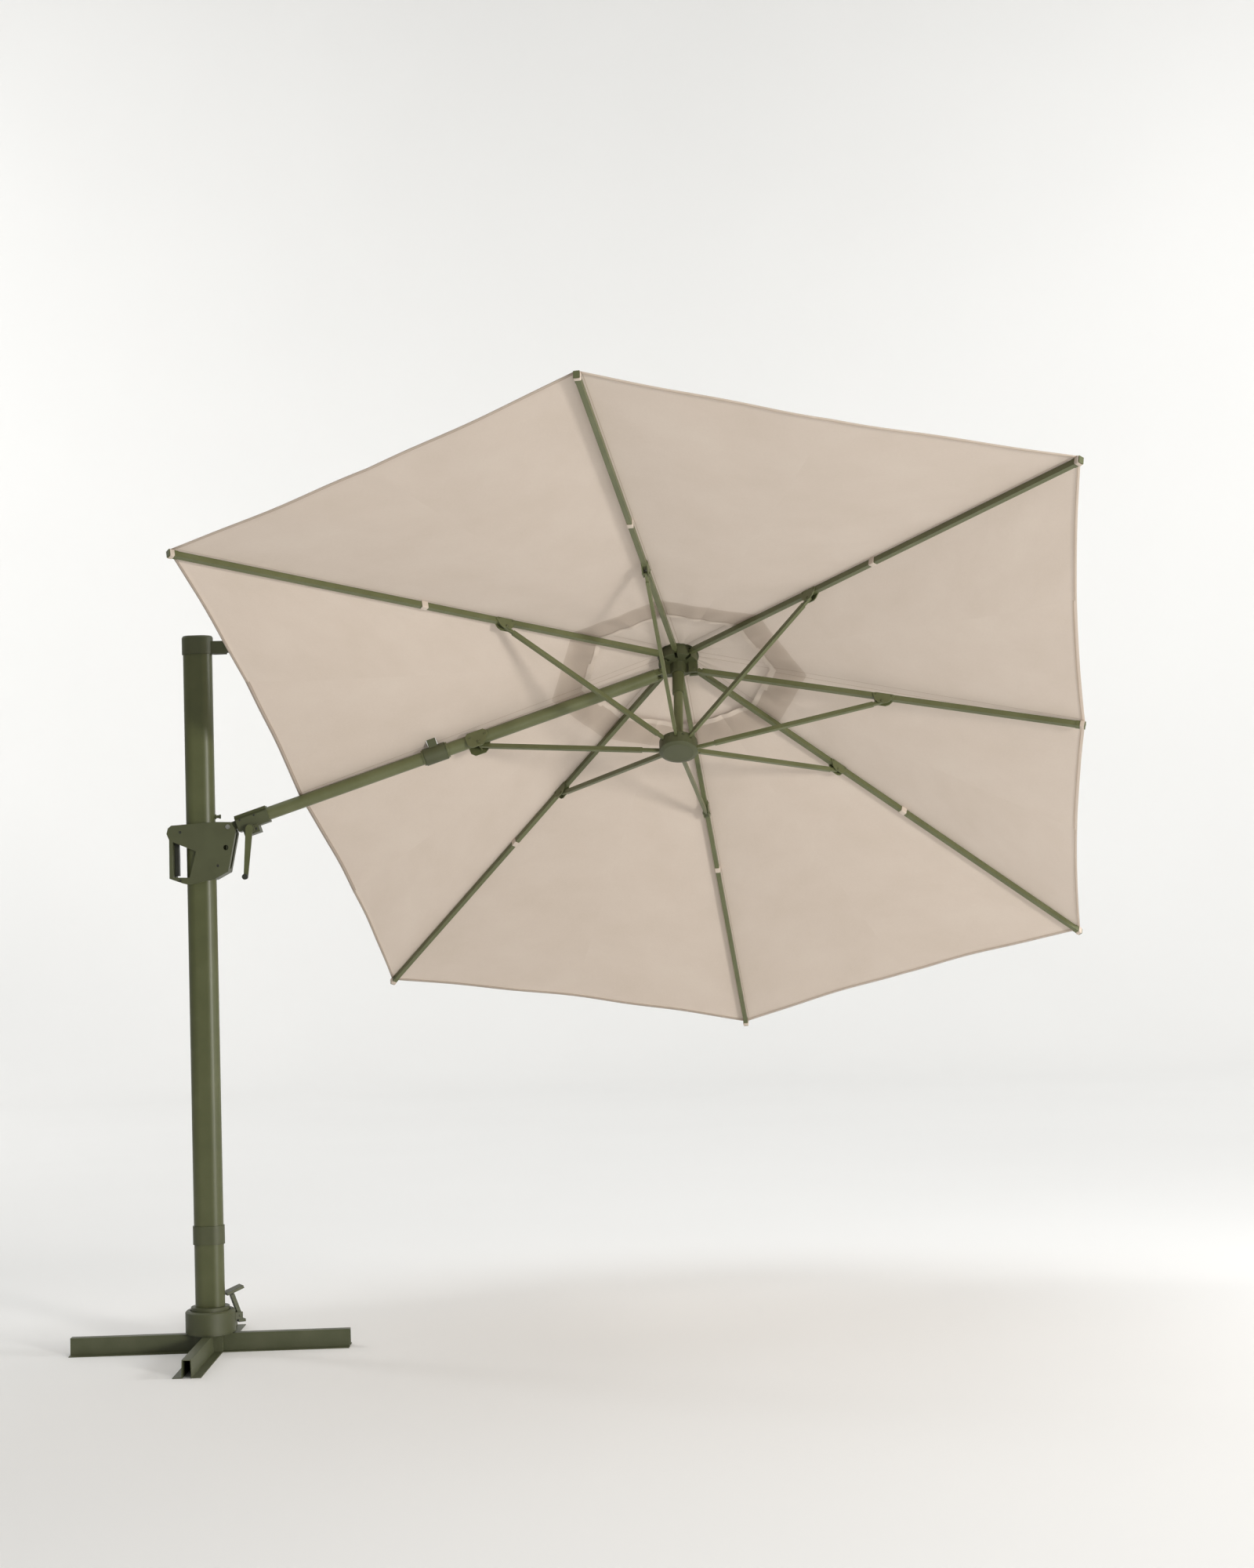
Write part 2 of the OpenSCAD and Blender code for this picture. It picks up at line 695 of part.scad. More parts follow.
module cloth(k, from, to, rows, m, up) {
  pts = [for (i = [0:rows - 1]) each sheet_row(k, from, to, i / (rows - 1), m, up)];
  slab(rows, 2 * m + 1, pts);
}

module petal(k) {
  color(cloth_c) in_crown() {
    cloth(k, vent_in, 0, 7, 4, 0);
    cloth(k, rim_r, vent_out, 3, 2, vent_lift);
  }
}

module petal_a() { petal(5); }
module petal_b() { petal(6); }
module petal_c() { petal(7); }
module petal_d() { petal(0); }
module petal_e() { petal(1); }
module petal_f() { petal(2); }
module petal_g() { petal(3); }

module petal_h() {
  color(cloth_c) difference() {
    petal(4);
    in_boom() translate([collar_along - 62, -34, -20]) cube([122, 68, 160]);
    in_roll() translate([collar_along - 62, -34, -20]) cube([122, 68, 160]);
  }
}

leg_left();
leg_right();
leg_front();
leg_back();
hub_block();
swivel_pin();
base_collar();
base_bolts();
foot_pedal();
mast_foot_ring();
lower_mast();
joint_sleeve();
upper_mast();
top_cap();
stop_peg();
mast_screws();
link_arm();
boom_socket();
tilt_collar();
boom_tube();
boom_fork();
boom_bracket();
worm_wheel();
crank_arm();
crank_knob();
carriage_front();
carriage_rear();
carriage_screws();
carriage_pin();
grip_trigger();
crown_hub();
crown_cap();
crown_sleeve();
lower_hub();
hub_tube();
rib_a();
rib_b();
rib_c();
rib_d();
rib_e();
rib_f();
rib_g();
stay_a();
stay_b();
stay_c();
stay_d();
stay_e();
stay_f();
stay_g();
stay_h();
petal_a();
petal_b();
petal_c();
petal_d();
petal_e();
petal_f();
petal_g();
petal_h();
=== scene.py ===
# %% [markdown]
# # A cantilever patio umbrella, dressed in Blender
# The tubes, hinges and brackets come from the CAD frame as they are. This script gives every metal and
# plastic piece its finish, and makes the soft parts that CAD leaves plain: the canopy, its vent flap,
# the strap loops on the ribs and the corner pockets. All lengths are metres, +Z is up, and +X points
# from the mast towards the canopy.

import math

import bmesh
import bpy
import numpy as np
from mathutils import Matrix, Vector


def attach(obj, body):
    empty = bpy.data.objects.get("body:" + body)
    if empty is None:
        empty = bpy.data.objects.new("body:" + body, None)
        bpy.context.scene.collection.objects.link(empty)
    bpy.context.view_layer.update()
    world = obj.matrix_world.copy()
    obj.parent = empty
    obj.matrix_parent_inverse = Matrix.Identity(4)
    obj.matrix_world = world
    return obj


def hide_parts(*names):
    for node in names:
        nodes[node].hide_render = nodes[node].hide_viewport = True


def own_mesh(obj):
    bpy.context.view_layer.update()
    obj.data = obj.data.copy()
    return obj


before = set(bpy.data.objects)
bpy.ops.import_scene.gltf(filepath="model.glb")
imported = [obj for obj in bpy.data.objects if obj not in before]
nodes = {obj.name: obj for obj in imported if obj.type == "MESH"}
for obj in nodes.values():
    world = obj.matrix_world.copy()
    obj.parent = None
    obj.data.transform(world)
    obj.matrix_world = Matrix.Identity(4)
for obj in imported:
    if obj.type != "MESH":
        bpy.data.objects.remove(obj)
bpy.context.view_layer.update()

# %% [markdown]
# ## The sizes this script shares with the frame
# The canopy hangs on a chain of frames: the boom rises from a pivot on the carriage, the boom rolls
# about its own length, and the crown sits on the boom's end. A 4 by 4 matrix for each one lets every
# soft piece be drawn in the crown's own frame, where the ribs are evenly spread.

# %% Frames of the boom and the crown
BOOM_PIVOT = Vector((0.105, 0.0, 1.8783))
BOOM_RISE = math.radians(18)
CANOPY_TILT = math.radians(32)
BOOM_LENGTH = 1.738
CROWN_RISE = 0.0324

boom_frame = Matrix.Translation(BOOM_PIVOT) @ Matrix.Rotation(-BOOM_RISE, 4, "Y")
roll_frame = boom_frame @ Matrix.Rotation(-CANOPY_TILT, 4, "X")
crown_frame = (
    roll_frame
    @ Matrix.Translation((BOOM_LENGTH, 0, 0))
    @ Matrix.Rotation(BOOM_RISE, 4, "Y")
    @ Matrix.Translation((0, 0, CROWN_RISE))
)
print("crown centre:", [round(x, 3) for x in crown_frame.translation])

# %% The eight spokes: seven ribs and the boom
PIVOT_R = 0.060
RIM_R = 0.084
LONG_SLOPE, SHORT_SLOPE = math.radians(13.5), math.radians(16)
SHORT_DROP = 0.0519
LONG_REACH, SHORT_REACH, BOOM_REACH = 2.0, 1.432, 1.4
CLOTH_UP = 0.014
SPOKES = "defghabc"
LONG_LETTERS = "efgabc"
spoke_angle = {letter: math.radians(45 * i) for i, letter in enumerate(SPOKES)}
spoke_reach = {letter: LONG_REACH for letter in SPOKES}
spoke_reach["d"], spoke_reach["h"] = SHORT_REACH, BOOM_REACH
long_rim = CLOTH_UP / math.cos(LONG_SLOPE) - (RIM_R - PIVOT_R) * math.tan(LONG_SLOPE)
long_end = CLOTH_UP / math.cos(LONG_SLOPE) - (LONG_REACH - PIVOT_R) * math.tan(LONG_SLOPE)
short_end = (
    CLOTH_UP / math.cos(SHORT_SLOPE) - SHORT_DROP - (SHORT_REACH - PIVOT_R) * math.tan(SHORT_SLOPE)
)
boom_end = 0.027 / math.cos(BOOM_RISE) - SHORT_DROP - (BOOM_REACH - PIVOT_R) * math.tan(BOOM_RISE)
rim_height = {letter: long_rim - (0.004 if letter in "dh" else 0) for letter in SPOKES}
end_height = {letter: long_end for letter in SPOKES}
end_height["d"], end_height["h"] = short_end, boom_end


def on_spoke(letter, radius):
    """The point of the cloth over one spoke, in the crown frame."""
    share = (radius - RIM_R) / (spoke_reach[letter] - RIM_R)
    height = rim_height[letter] + (end_height[letter] - rim_height[letter]) * share
    angle = spoke_angle[letter]
    return np.array([radius * math.cos(angle), radius * math.sin(angle), height])


print("rib tips at", [round(float(v), 3) for v in on_spoke("e", LONG_REACH)])

# %% [markdown]
# ## Colours and a node helper
# Web colours are written in sRGB, and a shader works in linear light, so one function turns a hex
# value into the numbers a socket wants. A second small function adds any node with its settings and
# links, which keeps each material readable as a list of nodes.

# %% Colour and node helpers
def linear(hex_colour):
    """An sRGB hex colour as linear RGBA."""
    parts = [int(hex_colour[i : i + 2], 16) / 255 for i in (1, 3, 5)]
    return [p / 12.92 if p <= 0.04045 else ((p + 0.055) / 1.055) ** 2.4 for p in parts] + [1.0]


def add(tree, kind, settings=None, **inputs):
    """Adds one node. Settings are its properties, and inputs are socket values or output sockets."""
    node = tree.nodes.new("ShaderNode" + kind)
    for name, value in (settings or {}).items():
        setattr(node, name, value)
    for name, value in inputs.items():
        key = int(name[1:]) if name[0] == "i" and name[1:].isdigit() else name.replace("_", " ")
        socket = node.inputs[key]
        if isinstance(value, bpy.types.NodeSocket):
            tree.links.new(value, socket)
        else:
            socket.default_value = value
    return node


def start_material(name):
    """An empty node material and its output node."""
    material = bpy.data.materials.new(name)
    material.use_nodes = True
    material.node_tree.nodes.clear()
    return material, material.node_tree, add(material.node_tree, "OutputMaterial")


def ramp(tree, factor, stops):
    """A colour ramp with (place, hex colour) stops."""
    node = add(tree, "ValToRGB", Fac=factor)
    for i, (place, colour) in enumerate(stops):
        point = node.color_ramp.elements[i] if i < 2 else node.color_ramp.elements.new(place)
        point.position, point.color = place, linear(colour)
    return node.outputs["Color"]


print("linear olive:", [round(c, 3) for c in linear("#5B5F3F")])

# %% [markdown]
# ## Powder-coated metal
# The mast, boom, ribs and base are aluminium and steel sprayed with polyester powder and baked. The
# powder melts into a fine orange-peel skin: matte, a little uneven in tone, and very slightly paler
# where dust settles and edges catch the light. It is a paint, so it isn't metallic. Its IOR is near 1.5
# and its roughness is high. The orange peel of the real one is about 1 mm across.

# %% Powder coat, olive
def make_powder_coat(name, dark, mid, light, roughness, grain_mm):
    material, tree, out = start_material(name)
    where = add(tree, "TexCoord").outputs["Object"]
    cloud = add(tree, "TexNoise", Vector=where, Scale=9.0, Detail=4.0, Roughness=0.55)
    speck = add(tree, "TexNoise", Vector=where, Scale=1000 / grain_mm / 2, Detail=2.0)
    mixed = add(tree, "Math", {"operation": "MULTIPLY_ADD"}, i0=speck.outputs["Fac"], i1=0.22)
    tree.links.new(cloud.outputs["Fac"], mixed.inputs[2])
    colour = ramp(tree, mixed.outputs[0], [(0.42, dark), (0.82, light), (0.6, mid)])
    peel = add(tree, "TexNoise", Vector=where, Scale=1000 / grain_mm, Detail=1.0)
    edge = add(tree, "Bevel", {"samples": 4}, Radius=0.0012)
    bump = add(
        tree, "Bump", Strength=0.16, Distance=0.0006, Height=peel.outputs["Fac"], Normal=edge.outputs[0]
    )
    matt = add(tree, "MapRange", Value=speck.outputs["Fac"], i3=roughness - 0.05, i4=roughness + 0.07)
    skin = add(
        tree,
        "BsdfPrincipled",
        Base_Color=colour,
        Roughness=matt.outputs[0],
        IOR=1.5,
        Normal=bump.outputs[0],
    )
    tree.links.new(skin.outputs[0], out.inputs["Surface"])
    return material


powder_coat = make_powder_coat("powder coat olive", "#494D2D", "#4D5130", "#525636", 0.40, 1.6)
# Painted light: the ribs, stays and boom get a lighter copy of the same olive, which stands for the light
# these arms catch.
powder_coat_painted_lit = make_powder_coat(
    "powder coat olive on ribs painted lighter", "#575B3A", "#5C603E", "#626645", 0.38, 1.6
)
powder_coat_thick = make_powder_coat(
    "powder coat olive on steel", "#464A30", "#4A4E35", "#50533B", 0.50, 2.2
)
print("made", powder_coat.name, "and", powder_coat_thick.name)

# %% [markdown]
# ## Moulded plastic
# The carriage, hubs and brackets are glass-filled nylon coloured in the granulate. A spark-eroded
# mould leaves a fine even grain, duller than paint. The same recipe in a darker green-black serves
# the knob, the trigger and the end caps.

# %% Moulded nylon
def make_nylon(name, dark, light, roughness):
    material, tree, out = start_material(name)
    where = add(tree, "TexCoord").outputs["Object"]
    cloud = add(tree, "TexNoise", Vector=where, Scale=14.0, Detail=3.0)
    colour = ramp(tree, cloud.outputs["Fac"], [(0.3, dark), (0.75, light)])
    # Spark grain is about 0.3 mm. It is drawn at 0.9 mm so that it shows.
    grain = add(tree, "TexVoronoi", Vector=where, Scale=1100.0)
    edge = add(tree, "Bevel", {"samples": 4}, Radius=0.002)
    bump = add(
        tree, "Bump", Strength=0.2, Distance=0.0004, Height=grain.outputs["Distance"], Normal=edge.outputs[0]
    )
    dull = add(tree, "MapRange", Value=cloud.outputs["Fac"], i3=roughness - 0.05, i4=roughness + 0.06)
    skin = add(
        tree,
        "BsdfPrincipled",
        Base_Color=colour,
        Roughness=dull.outputs[0],
        IOR=1.53,
        Normal=bump.outputs[0],
    )
    tree.links.new(skin.outputs[0], out.inputs["Surface"])
    return material


nylon_olive = make_nylon("moulded nylon olive", "#42452A", "#484C30", 0.5)
nylon_dark = make_nylon("moulded nylon green black", "#1D1F16", "#292B20", 0.45)
print("made", nylon_olive.name, "and", nylon_dark.name)

# %% [markdown]
# ## Zinc-plated steel
# Pins, rivets and screws are steel with a thin zinc coat, passivated and slightly cloudy. It is a
# metal, so the colour sits in the reflection and the IOR keeps its default.

# %% Zinc plate
def make_zinc(name, tone):
    material, tree, out = start_material(name)
    where = add(tree, "TexCoord").outputs["Object"]
    cloud = add(tree, "TexNoise", Vector=where, Scale=260.0, Detail=3.0)
    colour = ramp(tree, cloud.outputs["Fac"], [(0.3, tone), (0.8, "#B9BAB4")])
    dull = add(tree, "MapRange", Value=cloud.outputs["Fac"], i3=0.3, i4=0.48)
    skin = add(tree, "BsdfPrincipled", Base_Color=colour, Roughness=dull.outputs[0], Metallic=1.0)
    tree.links.new(skin.outputs[0], out.inputs["Surface"])
    return material


zinc_plate = make_zinc("zinc-plated steel", "#8E9088")
print("made", zinc_plate.name)

# %% [markdown]
# ## Woven polyester for the canopy
# Canopy cloth is solution-dyed polyester, plain woven from yarns about half a millimetre apart, with
# a water-repellent finish on top. It is thin enough to glow a little when light falls on the far
# side, so a share of a Translucent shader is mixed in. Yarns of 0.5 mm are too fine to show, so they
# are drawn 2.5 mm apart. The mesh carries its flat coordinates in metres as a UV map, so the yarns
# run along the ribs, and three attributes give the distance to the edge, to the rib seam and to the
# line where the vent flap starts to overlap. Cloth under the flap gets less light through it, which is
# drawn as a slightly darker tone there.

# %% Canopy cloth
YARN_MM = 2.5


def make_cloth(name, shade, base, pale, through):
    material, tree, out = start_material(name)
    flat = add(tree, "UVMap", {"uv_map": "flat"}).outputs[0]
    bands = {"wave_type": "BANDS", "wave_profile": "SIN"}
    scale = 1000 / YARN_MM / 20 * 2 * math.pi
    warp, weft = (
        add(tree, "TexWave", {**bands, "bands_direction": way}, Vector=flat, Scale=scale, Distortion=0.4)
        for way in "XY"
    )
    weave = add(tree, "Math", {"operation": "ADD"}, i0=warp.outputs["Fac"], i1=weft.outputs["Fac"])
    cloud = add(tree, "TexNoise", Vector=flat, Scale=3.2, Detail=5.0, Roughness=0.6)
    slub = add(tree, "TexNoise", {"noise_dimensions": "2D"}, Vector=flat, Scale=120.0, Detail=2.0)
    tone = add(tree, "Math", {"operation": "MULTIPLY_ADD"}, i0=slub.outputs["Fac"], i1=0.25)
    tree.links.new(cloud.outputs["Fac"], tone.inputs[2])
    colour = ramp(tree, tone.outputs[0], [(0.38, shade), (0.9, pale), (0.62, base)])
    edge_m = add(tree, "Attribute", {"attribute_name": "edge_m"}).outputs["Fac"]
    seam_m = add(tree, "Attribute", {"attribute_name": "seam_m"}).outputs["Fac"]
    hem_line = add(tree, "Math", {"operation": "COMPARE"}, i0=edge_m, i1=0.011, i2=0.0013)
    seam_line = add(tree, "Math", {"operation": "COMPARE"}, i0=seam_m, i1=0.015, i2=0.0012)
    lines = add(tree, "Math", {"operation": "MAXIMUM"}, i0=hem_line.outputs[0], i1=seam_line.outputs[0])
    stitched = add(
        tree,
        "Mix",
        {"data_type": "RGBA", "blend_type": "MULTIPLY"},
        i0=lines.outputs[0],
        i6=colour,
        i7=linear("#E2DBD2"),
    )
    # Painted shade: the cloth is multiplied a little darker where the vent flap overlaps it, for the light
    # the second layer holds back.
    lap_m = add(tree, "Attribute", {"attribute_name": "lap_m"}).outputs["Fac"]
    painted_overlap_shade = add(tree, "Math", {"operation": "GREATER_THAN"}, i0=lap_m, i1=0.0)
    shaded = add(
        tree,
        "Mix",
        {"data_type": "RGBA", "blend_type": "MULTIPLY"},
        i0=painted_overlap_shade.outputs[0],
        i6=stitched.outputs[2],
        i7=linear("#EFEDEA"),
    )
    height = add(tree, "Math", {"operation": "MULTIPLY_ADD"}, i0=lines.outputs[0], i1=-3.0)
    tree.links.new(weave.outputs[0], height.inputs[2])
    bump = add(tree, "Bump", Strength=0.22, Distance=0.0005, Height=height.outputs[0])
    skin = add(
        tree,
        "BsdfPrincipled",
        Base_Color=shaded.outputs[2],
        Roughness=0.82,
        IOR=1.46,
        Sheen_Weight=0.12,
        Sheen_Roughness=0.5,
        Normal=bump.outputs[0],
    )
    glow = add(tree, "BsdfTranslucent", Color=shaded.outputs[2], Normal=bump.outputs[0])
    mix = add(tree, "MixShader", Fac=through, i1=skin.outputs[0], i2=glow.outputs[0])
    tree.links.new(mix.outputs[0], out.inputs["Surface"])
    return material


canopy_cloth = make_cloth("woven polyester beige", "#C8BAAC", "#CCBEB1", "#D0C3B6", 0.25)
webbing = make_cloth("woven strap beige", "#C6B8AA", "#CDBFB1", "#D2C5B8", 0.08)
print("made", canopy_cloth.name, "and", webbing.name)

# %% [markdown]
# ## Finishes on the frame
# Each CAD node keeps its shape and gets the finish its real piece has. The arms (ribs, stays and boom)
# take a copy of the olive painted lighter, for the light they catch. The finish goes in the object's own
# slots.

# %% Dress the frame nodes
STEEL_NODES = [
    "leg_left", "leg_right", "leg_front", "leg_back", "hub_block", "swivel_pin", "base_bolts", "foot_pedal",
]
NYLON_NODES = [
    "base_collar", "mast_foot_ring", "joint_sleeve", "top_cap", "boom_socket", "tilt_collar",
    "carriage_front", "carriage_rear", "crown_hub", "crown_cap", "lower_hub", "stop_peg",
]
DARK_NODES = ["crank_knob", "grip_trigger", "carriage_screws", "mast_screws"]
ZINC_NODES = ["worm_wheel", "carriage_pin"]
finish_of = {name: powder_coat for name in nodes if not name.startswith("petal_")}
ARM_NODES = [name for name in nodes if name[:4] in ("rib_", "stay", "boom", "hub_")]
# The arms take the olive painted lighter, as painted light.
finish_of.update({name: powder_coat_painted_lit for name in ARM_NODES})
finish_of.update({name: powder_coat_thick for name in STEEL_NODES})
finish_of.update({name: nylon_olive for name in NYLON_NODES})
finish_of.update({name: nylon_dark for name in DARK_NODES})
finish_of.update({name: zinc_plate for name in ZINC_NODES})
for name, material in finish_of.items():
    for holder in nodes[name].material_slots:
        holder.link = "OBJECT"
        holder.material = material
print("dressed", len(finish_of), "frame nodes")

# %% [markdown]
# ## A mesh helper
# Every new piece is made from a list of points and faces. The helper builds the mesh, gives it its
# material, and smooths it by angle, so that round parts look round and corners stay crisp.

# %% Make a piece
def make_piece(name, points, faces, material, body, smooth_deg=35):
    mesh = bpy.data.meshes.new(name)
    mesh.from_pydata([tuple(map(float, p)) for p in points], [], faces)
    mesh.update()
    mesh.materials.append(material)
    mesh.polygons.foreach_set("use_smooth", [True] * len(mesh.polygons))
    if smooth_deg < 180:
        mesh.set_sharp_from_angle(angle=math.radians(smooth_deg))
    piece = bpy.data.objects.new(name, mesh)
    bpy.context.scene.collection.objects.link(piece)
    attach(piece, body)
    return piece


def place(matrix, points):
    """Points of a local frame as row-frame points."""
    m = np.array(matrix)
    return np.asarray(points, float) @ m[:3, :3].T + m[:3, 3]


def grid_faces(rows, cols, start=0):
    """Quads over a grid of rows by cols points."""
    faces = []
    for i in range(rows - 1):
        for j in range(cols - 1):
            a = start + i * cols + j
            faces.append((a, a + cols, a + cols + 1, a + 1))
    return faces


print("helpers ready")

# %% [markdown]
# ## The canopy
# The real canopy is one skin sewn from gores and stretched over the ribs, with edges that curve
# inwards between the corners. It folds like a flower, so it is made as eight petals, each centred on
# one rib and meeting its neighbours along the middle of a gore. Two petals share the same points
# there, and the cloth is level across that line, so no joint shows. A petal rides on its rib.
#
# Each gore is a ruled sheet between two spokes. Three small moves make it cloth: it sags a few
# millimetres in the middle, its edge is pulled in between the corners, and faint folds fan out from
# the corners and the hub where the tension is highest.

# %% Canopy shape
EDGE_CURVE = 0.017
VENT_IN, VENT_OUT, VENT_LIFT = 0.340, 0.470, 0.015
FLAP_IN, FLAP_CEILING = 0.061, 0.0262
ROWS, SIDE = 46, 14
HEM = 0.013


def neighbour(letter, side):
    return SPOKES[(SPOKES.index(letter) + (1 if side > 0 else 7)) % 8]


def fan_folds(letter, other, share, v):
    """Faint folds in metres: they run out of the corner and the hub and fade across the gore."""
    key = SPOKES.index(letter) * 1.7 + SPOKES.index(other) * 0.9
    key2 = SPOKES.index(other) * 1.7 + SPOKES.index(letter) * 0.9
    w = 2 * v
    fold = 0.0
    for k, weight in ((key, 1 - w / 2), (key2, w / 2)):
        fold += weight * math.sin(9 * w + 5 * share + k) * 0.5
    corner = share**5
    hub = (1 - share) ** 4
    return (0.0036 * corner + 0.0030 * hub) * fold * math.sin(math.pi * v) * 2


def gore_point(letter, other, start, share, v, lift, sag, end=None):
    """A point of the gore between two spokes, v of the way from the first, in the crown frame."""
    reach_a, reach_b = (spoke_reach[letter], spoke_reach[other]) if end is None else (end, end)
    run = share * (1 - EDGE_CURVE * 4 * v * (1 - v)) if end is None else share
    ra, rb = start + (reach_a - start) * run, start + (reach_b - start) * run
    p = on_spoke(letter, ra) * (1 - v) + on_spoke(other, rb) * v
    radius = ra * (1 - v) + rb * v
    span = math.sin(math.pi * v)
    p[2] += lift - sag * radius * span * math.sin(math.pi * min(1, share * 0.9 + 0.1))
    p[2] += fan_folds(letter, other, share, v)
    return p


def petal_grid(letter, start, rows, side, lift, sag, end=None):
    """Grid points of one petal, with flat coordinates and its edge, seam and overlap distances."""
    points, flat, edge, seam, lap = [], [], [], [], []
    length = (end or spoke_reach[letter]) - start
    shares = [(i / (rows - 1)) ** 0.9 for i in range(rows)]
    for share in shares + ([1.0, 1.0] if end is None else []):
        i = len(points) // (2 * side + 1)
        under = i - rows
        for j in range(-side, side + 1):
            other = neighbour(letter, j if j else 1)
            v = abs(j) / side / 2
            s = share if under < 1 else 1 - HEM / length
            p = gore_point(letter, other, start, s, v, lift, sag, end)
            q = gore_point(letter, other, start, s, 0, lift, sag, end)
            if under >= 0:
                p = p - np.array([0, 0, 0.0016])
            points.append(p)
            across = float(np.linalg.norm(p - q))
            flat.append((math.copysign(across, j), start + length * s))
            edge.append(max(0.0, min(length * (1 - s), length * s + (0 if end is None else 1))))
            seam.append(across)
            run = s * (1 - EDGE_CURVE * 4 * v * (1 - v))
            ends = spoke_reach[letter] * (1 - v) + spoke_reach[other] * v
            lap.append(VENT_OUT - start - (ends - start) * run if end is None else -1.0)
    return points, flat, edge, seam, lap


def add_cloth_data(piece, flat, edge, seam, lap):
    """Flat coordinates as a UV map, and the three distances as attributes."""
    layer = piece.data.uv_layers.new(name="flat")
    for loop in piece.data.loops:
        layer.data[loop.index].uv = flat[loop.vertex_index]
    for name, values in (("edge_m", edge), ("seam_m", seam), ("lap_m", lap)):
        piece.data.attributes.new(name, "FLOAT", "POINT").data.foreach_set("value", values)


print("a petal has", (ROWS + 2) * (2 * SIDE + 1), "points")

# %% Petals
WINDOW_LOW, WINDOW_HIGH, WINDOW_HALF = 0.777, 0.813, 0.043  # slot for the collar ears, along and across
WINDOW_REACH = 0.12


def body_of_spoke(letter):
    return "boom" if letter == "h" else "rib_" + letter


def gather(piece):
    """Gives the piece its own copy of the mesh data."""
    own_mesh(piece)


def surface_area(piece):
    return sum(p.area for p in piece.data.polygons)


def cut_window(piece):
    """Cuts the slot where the collar ears come through the cloth, wide enough for the whole side tilt."""
    local = np.array(roll_frame.inverted())
    low, high, half = WINDOW_LOW, WINDOW_HIGH, WINDOW_HALF
    middle = ((low + high) / 2, 0)
    bm = bmesh.new()
    bm.from_mesh(piece.data)

    def along(point):
        return local[:3, :3] @ np.array(point) + local[:3, 3]

    cuts = (
        ((low, 0, 0), (1, 0, 0)),
        ((high, 0, 0), (1, 0, 0)),
        ((0, -half, 0), (0, 1, 0)),
        ((0, half, 0), (0, 1, 0)),
    )
    for at, normal in cuts:
        near = []
        for face in bm.faces:
            if np.hypot(*(along(face.calc_center_median())[:2] - middle)) < WINDOW_REACH:
                near.append(face)
        parts = near + list({e for f in near for e in f.edges}) + list({v for f in near for v in f.verts})
        world_normal = roll_frame.to_3x3() @ Vector(normal)
        bmesh.ops.bisect_plane(bm, geom=parts, plane_co=roll_frame @ Vector(at), plane_no=world_normal)
    inside = []
    for face in bm.faces:
        x, y, _ = along(face.calc_center_median())
        if low < x < high and abs(y) < half:
            inside.append(face)
    bmesh.ops.delete(bm, geom=inside, context="FACES")
    bm.to_mesh(piece.data)
    bm.free()
    return len(inside)


def make_petal(letter):
    points, flat, edge, seam, lap = petal_grid(letter, VENT_IN, ROWS, SIDE, 0.0, 0.012)
    cols = 2 * SIDE + 1
    faces = grid_faces(ROWS + 2, cols)
    piece = make_piece(
        "canopy_petal_" + letter, place(crown_frame, points), faces, canopy_cloth, body_of_spoke(letter),
        180,
    )
    add_cloth_data(piece, flat, edge, seam, lap)
    if letter == "h":
        print("faces cut for the slot:", cut_window(piece))
    return piece


petals = {}
for letter in SPOKES:
    petals[letter] = make_petal(letter)
    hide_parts("petal_" + letter)
print("canopy area:", round(sum(surface_area(p) for p in petals.values()), 2), "m2")

# %% [markdown]
# ## The vent flap
# A wind vent is an opening round the hub with a second small canopy sewn over it. Air escapes between
# the two. From below the flap shows through the opening, and the ring where both layers overlap looks
# darker, because less light comes through two layers.

# %% Vent flap
def make_flap(letter):
    rows, side = 14, 8
    points, flat, edge, seam, lap = petal_grid(letter, FLAP_IN, rows, side, VENT_LIFT, 0.004, end=VENT_OUT)
    for p in points:
        p[2] = min(p[2], FLAP_CEILING)
    faces = grid_faces(rows, 2 * side + 1)
    piece = make_piece(
        "vent_flap_" + letter, place(crown_frame, points), faces, canopy_cloth, body_of_spoke(letter),
        180,
    )
    add_cloth_data(piece, flat, edge, seam, lap)
    return piece


flaps = {letter: make_flap(letter) for letter in SPOKES}
print("vent flap area:", round(sum(surface_area(p) for p in flaps.values()), 2), "m2")

# %% Binding sewn under the edge of the opening
def make_binding(letter):
    """A folded strip 22 mm wide, 1.8 mm under the main cloth, so the edge of the opening reads as a hem."""
    points = []
    for inset in (-0.002, 0.010, 0.020):
        share = inset / (spoke_reach[letter] - VENT_IN)
        for j in range(-SIDE, SIDE + 1):
            v = abs(j) / SIDE / 2
            points.append(gore_point(letter, neighbour(letter, j or 1), VENT_IN, share, v, -0.0018, 0.012))
    piece = make_piece(
        "vent_binding_" + letter, place(crown_frame, points), grid_faces(3, 2 * SIDE + 1), webbing,
        body_of_spoke(letter), 180,
    )
    flat = [(p[1], math.hypot(p[0], p[1])) for p in points]
    add_cloth_data(piece, flat, [0.5] * len(points), [0.5] * len(points), [-1.0] * len(points))
    gather(piece)
    return piece


bindings = {letter: make_binding(letter) for letter in SPOKES}
print("made", len(bindings), "bindings")

for letter in SPOKES:
    gather(petals[letter])
    gather(flaps[letter])
print("declared", len(petals) + len(flaps), "sheets")

# %% [markdown]
# ## Strap loops and corner pockets
# Fabric loops sewn to the canopy hold it down to each long rib a little past half way, and a sewn
# pocket at each corner slips over the rib end. Both are short flat tubes of webbing round the rib.

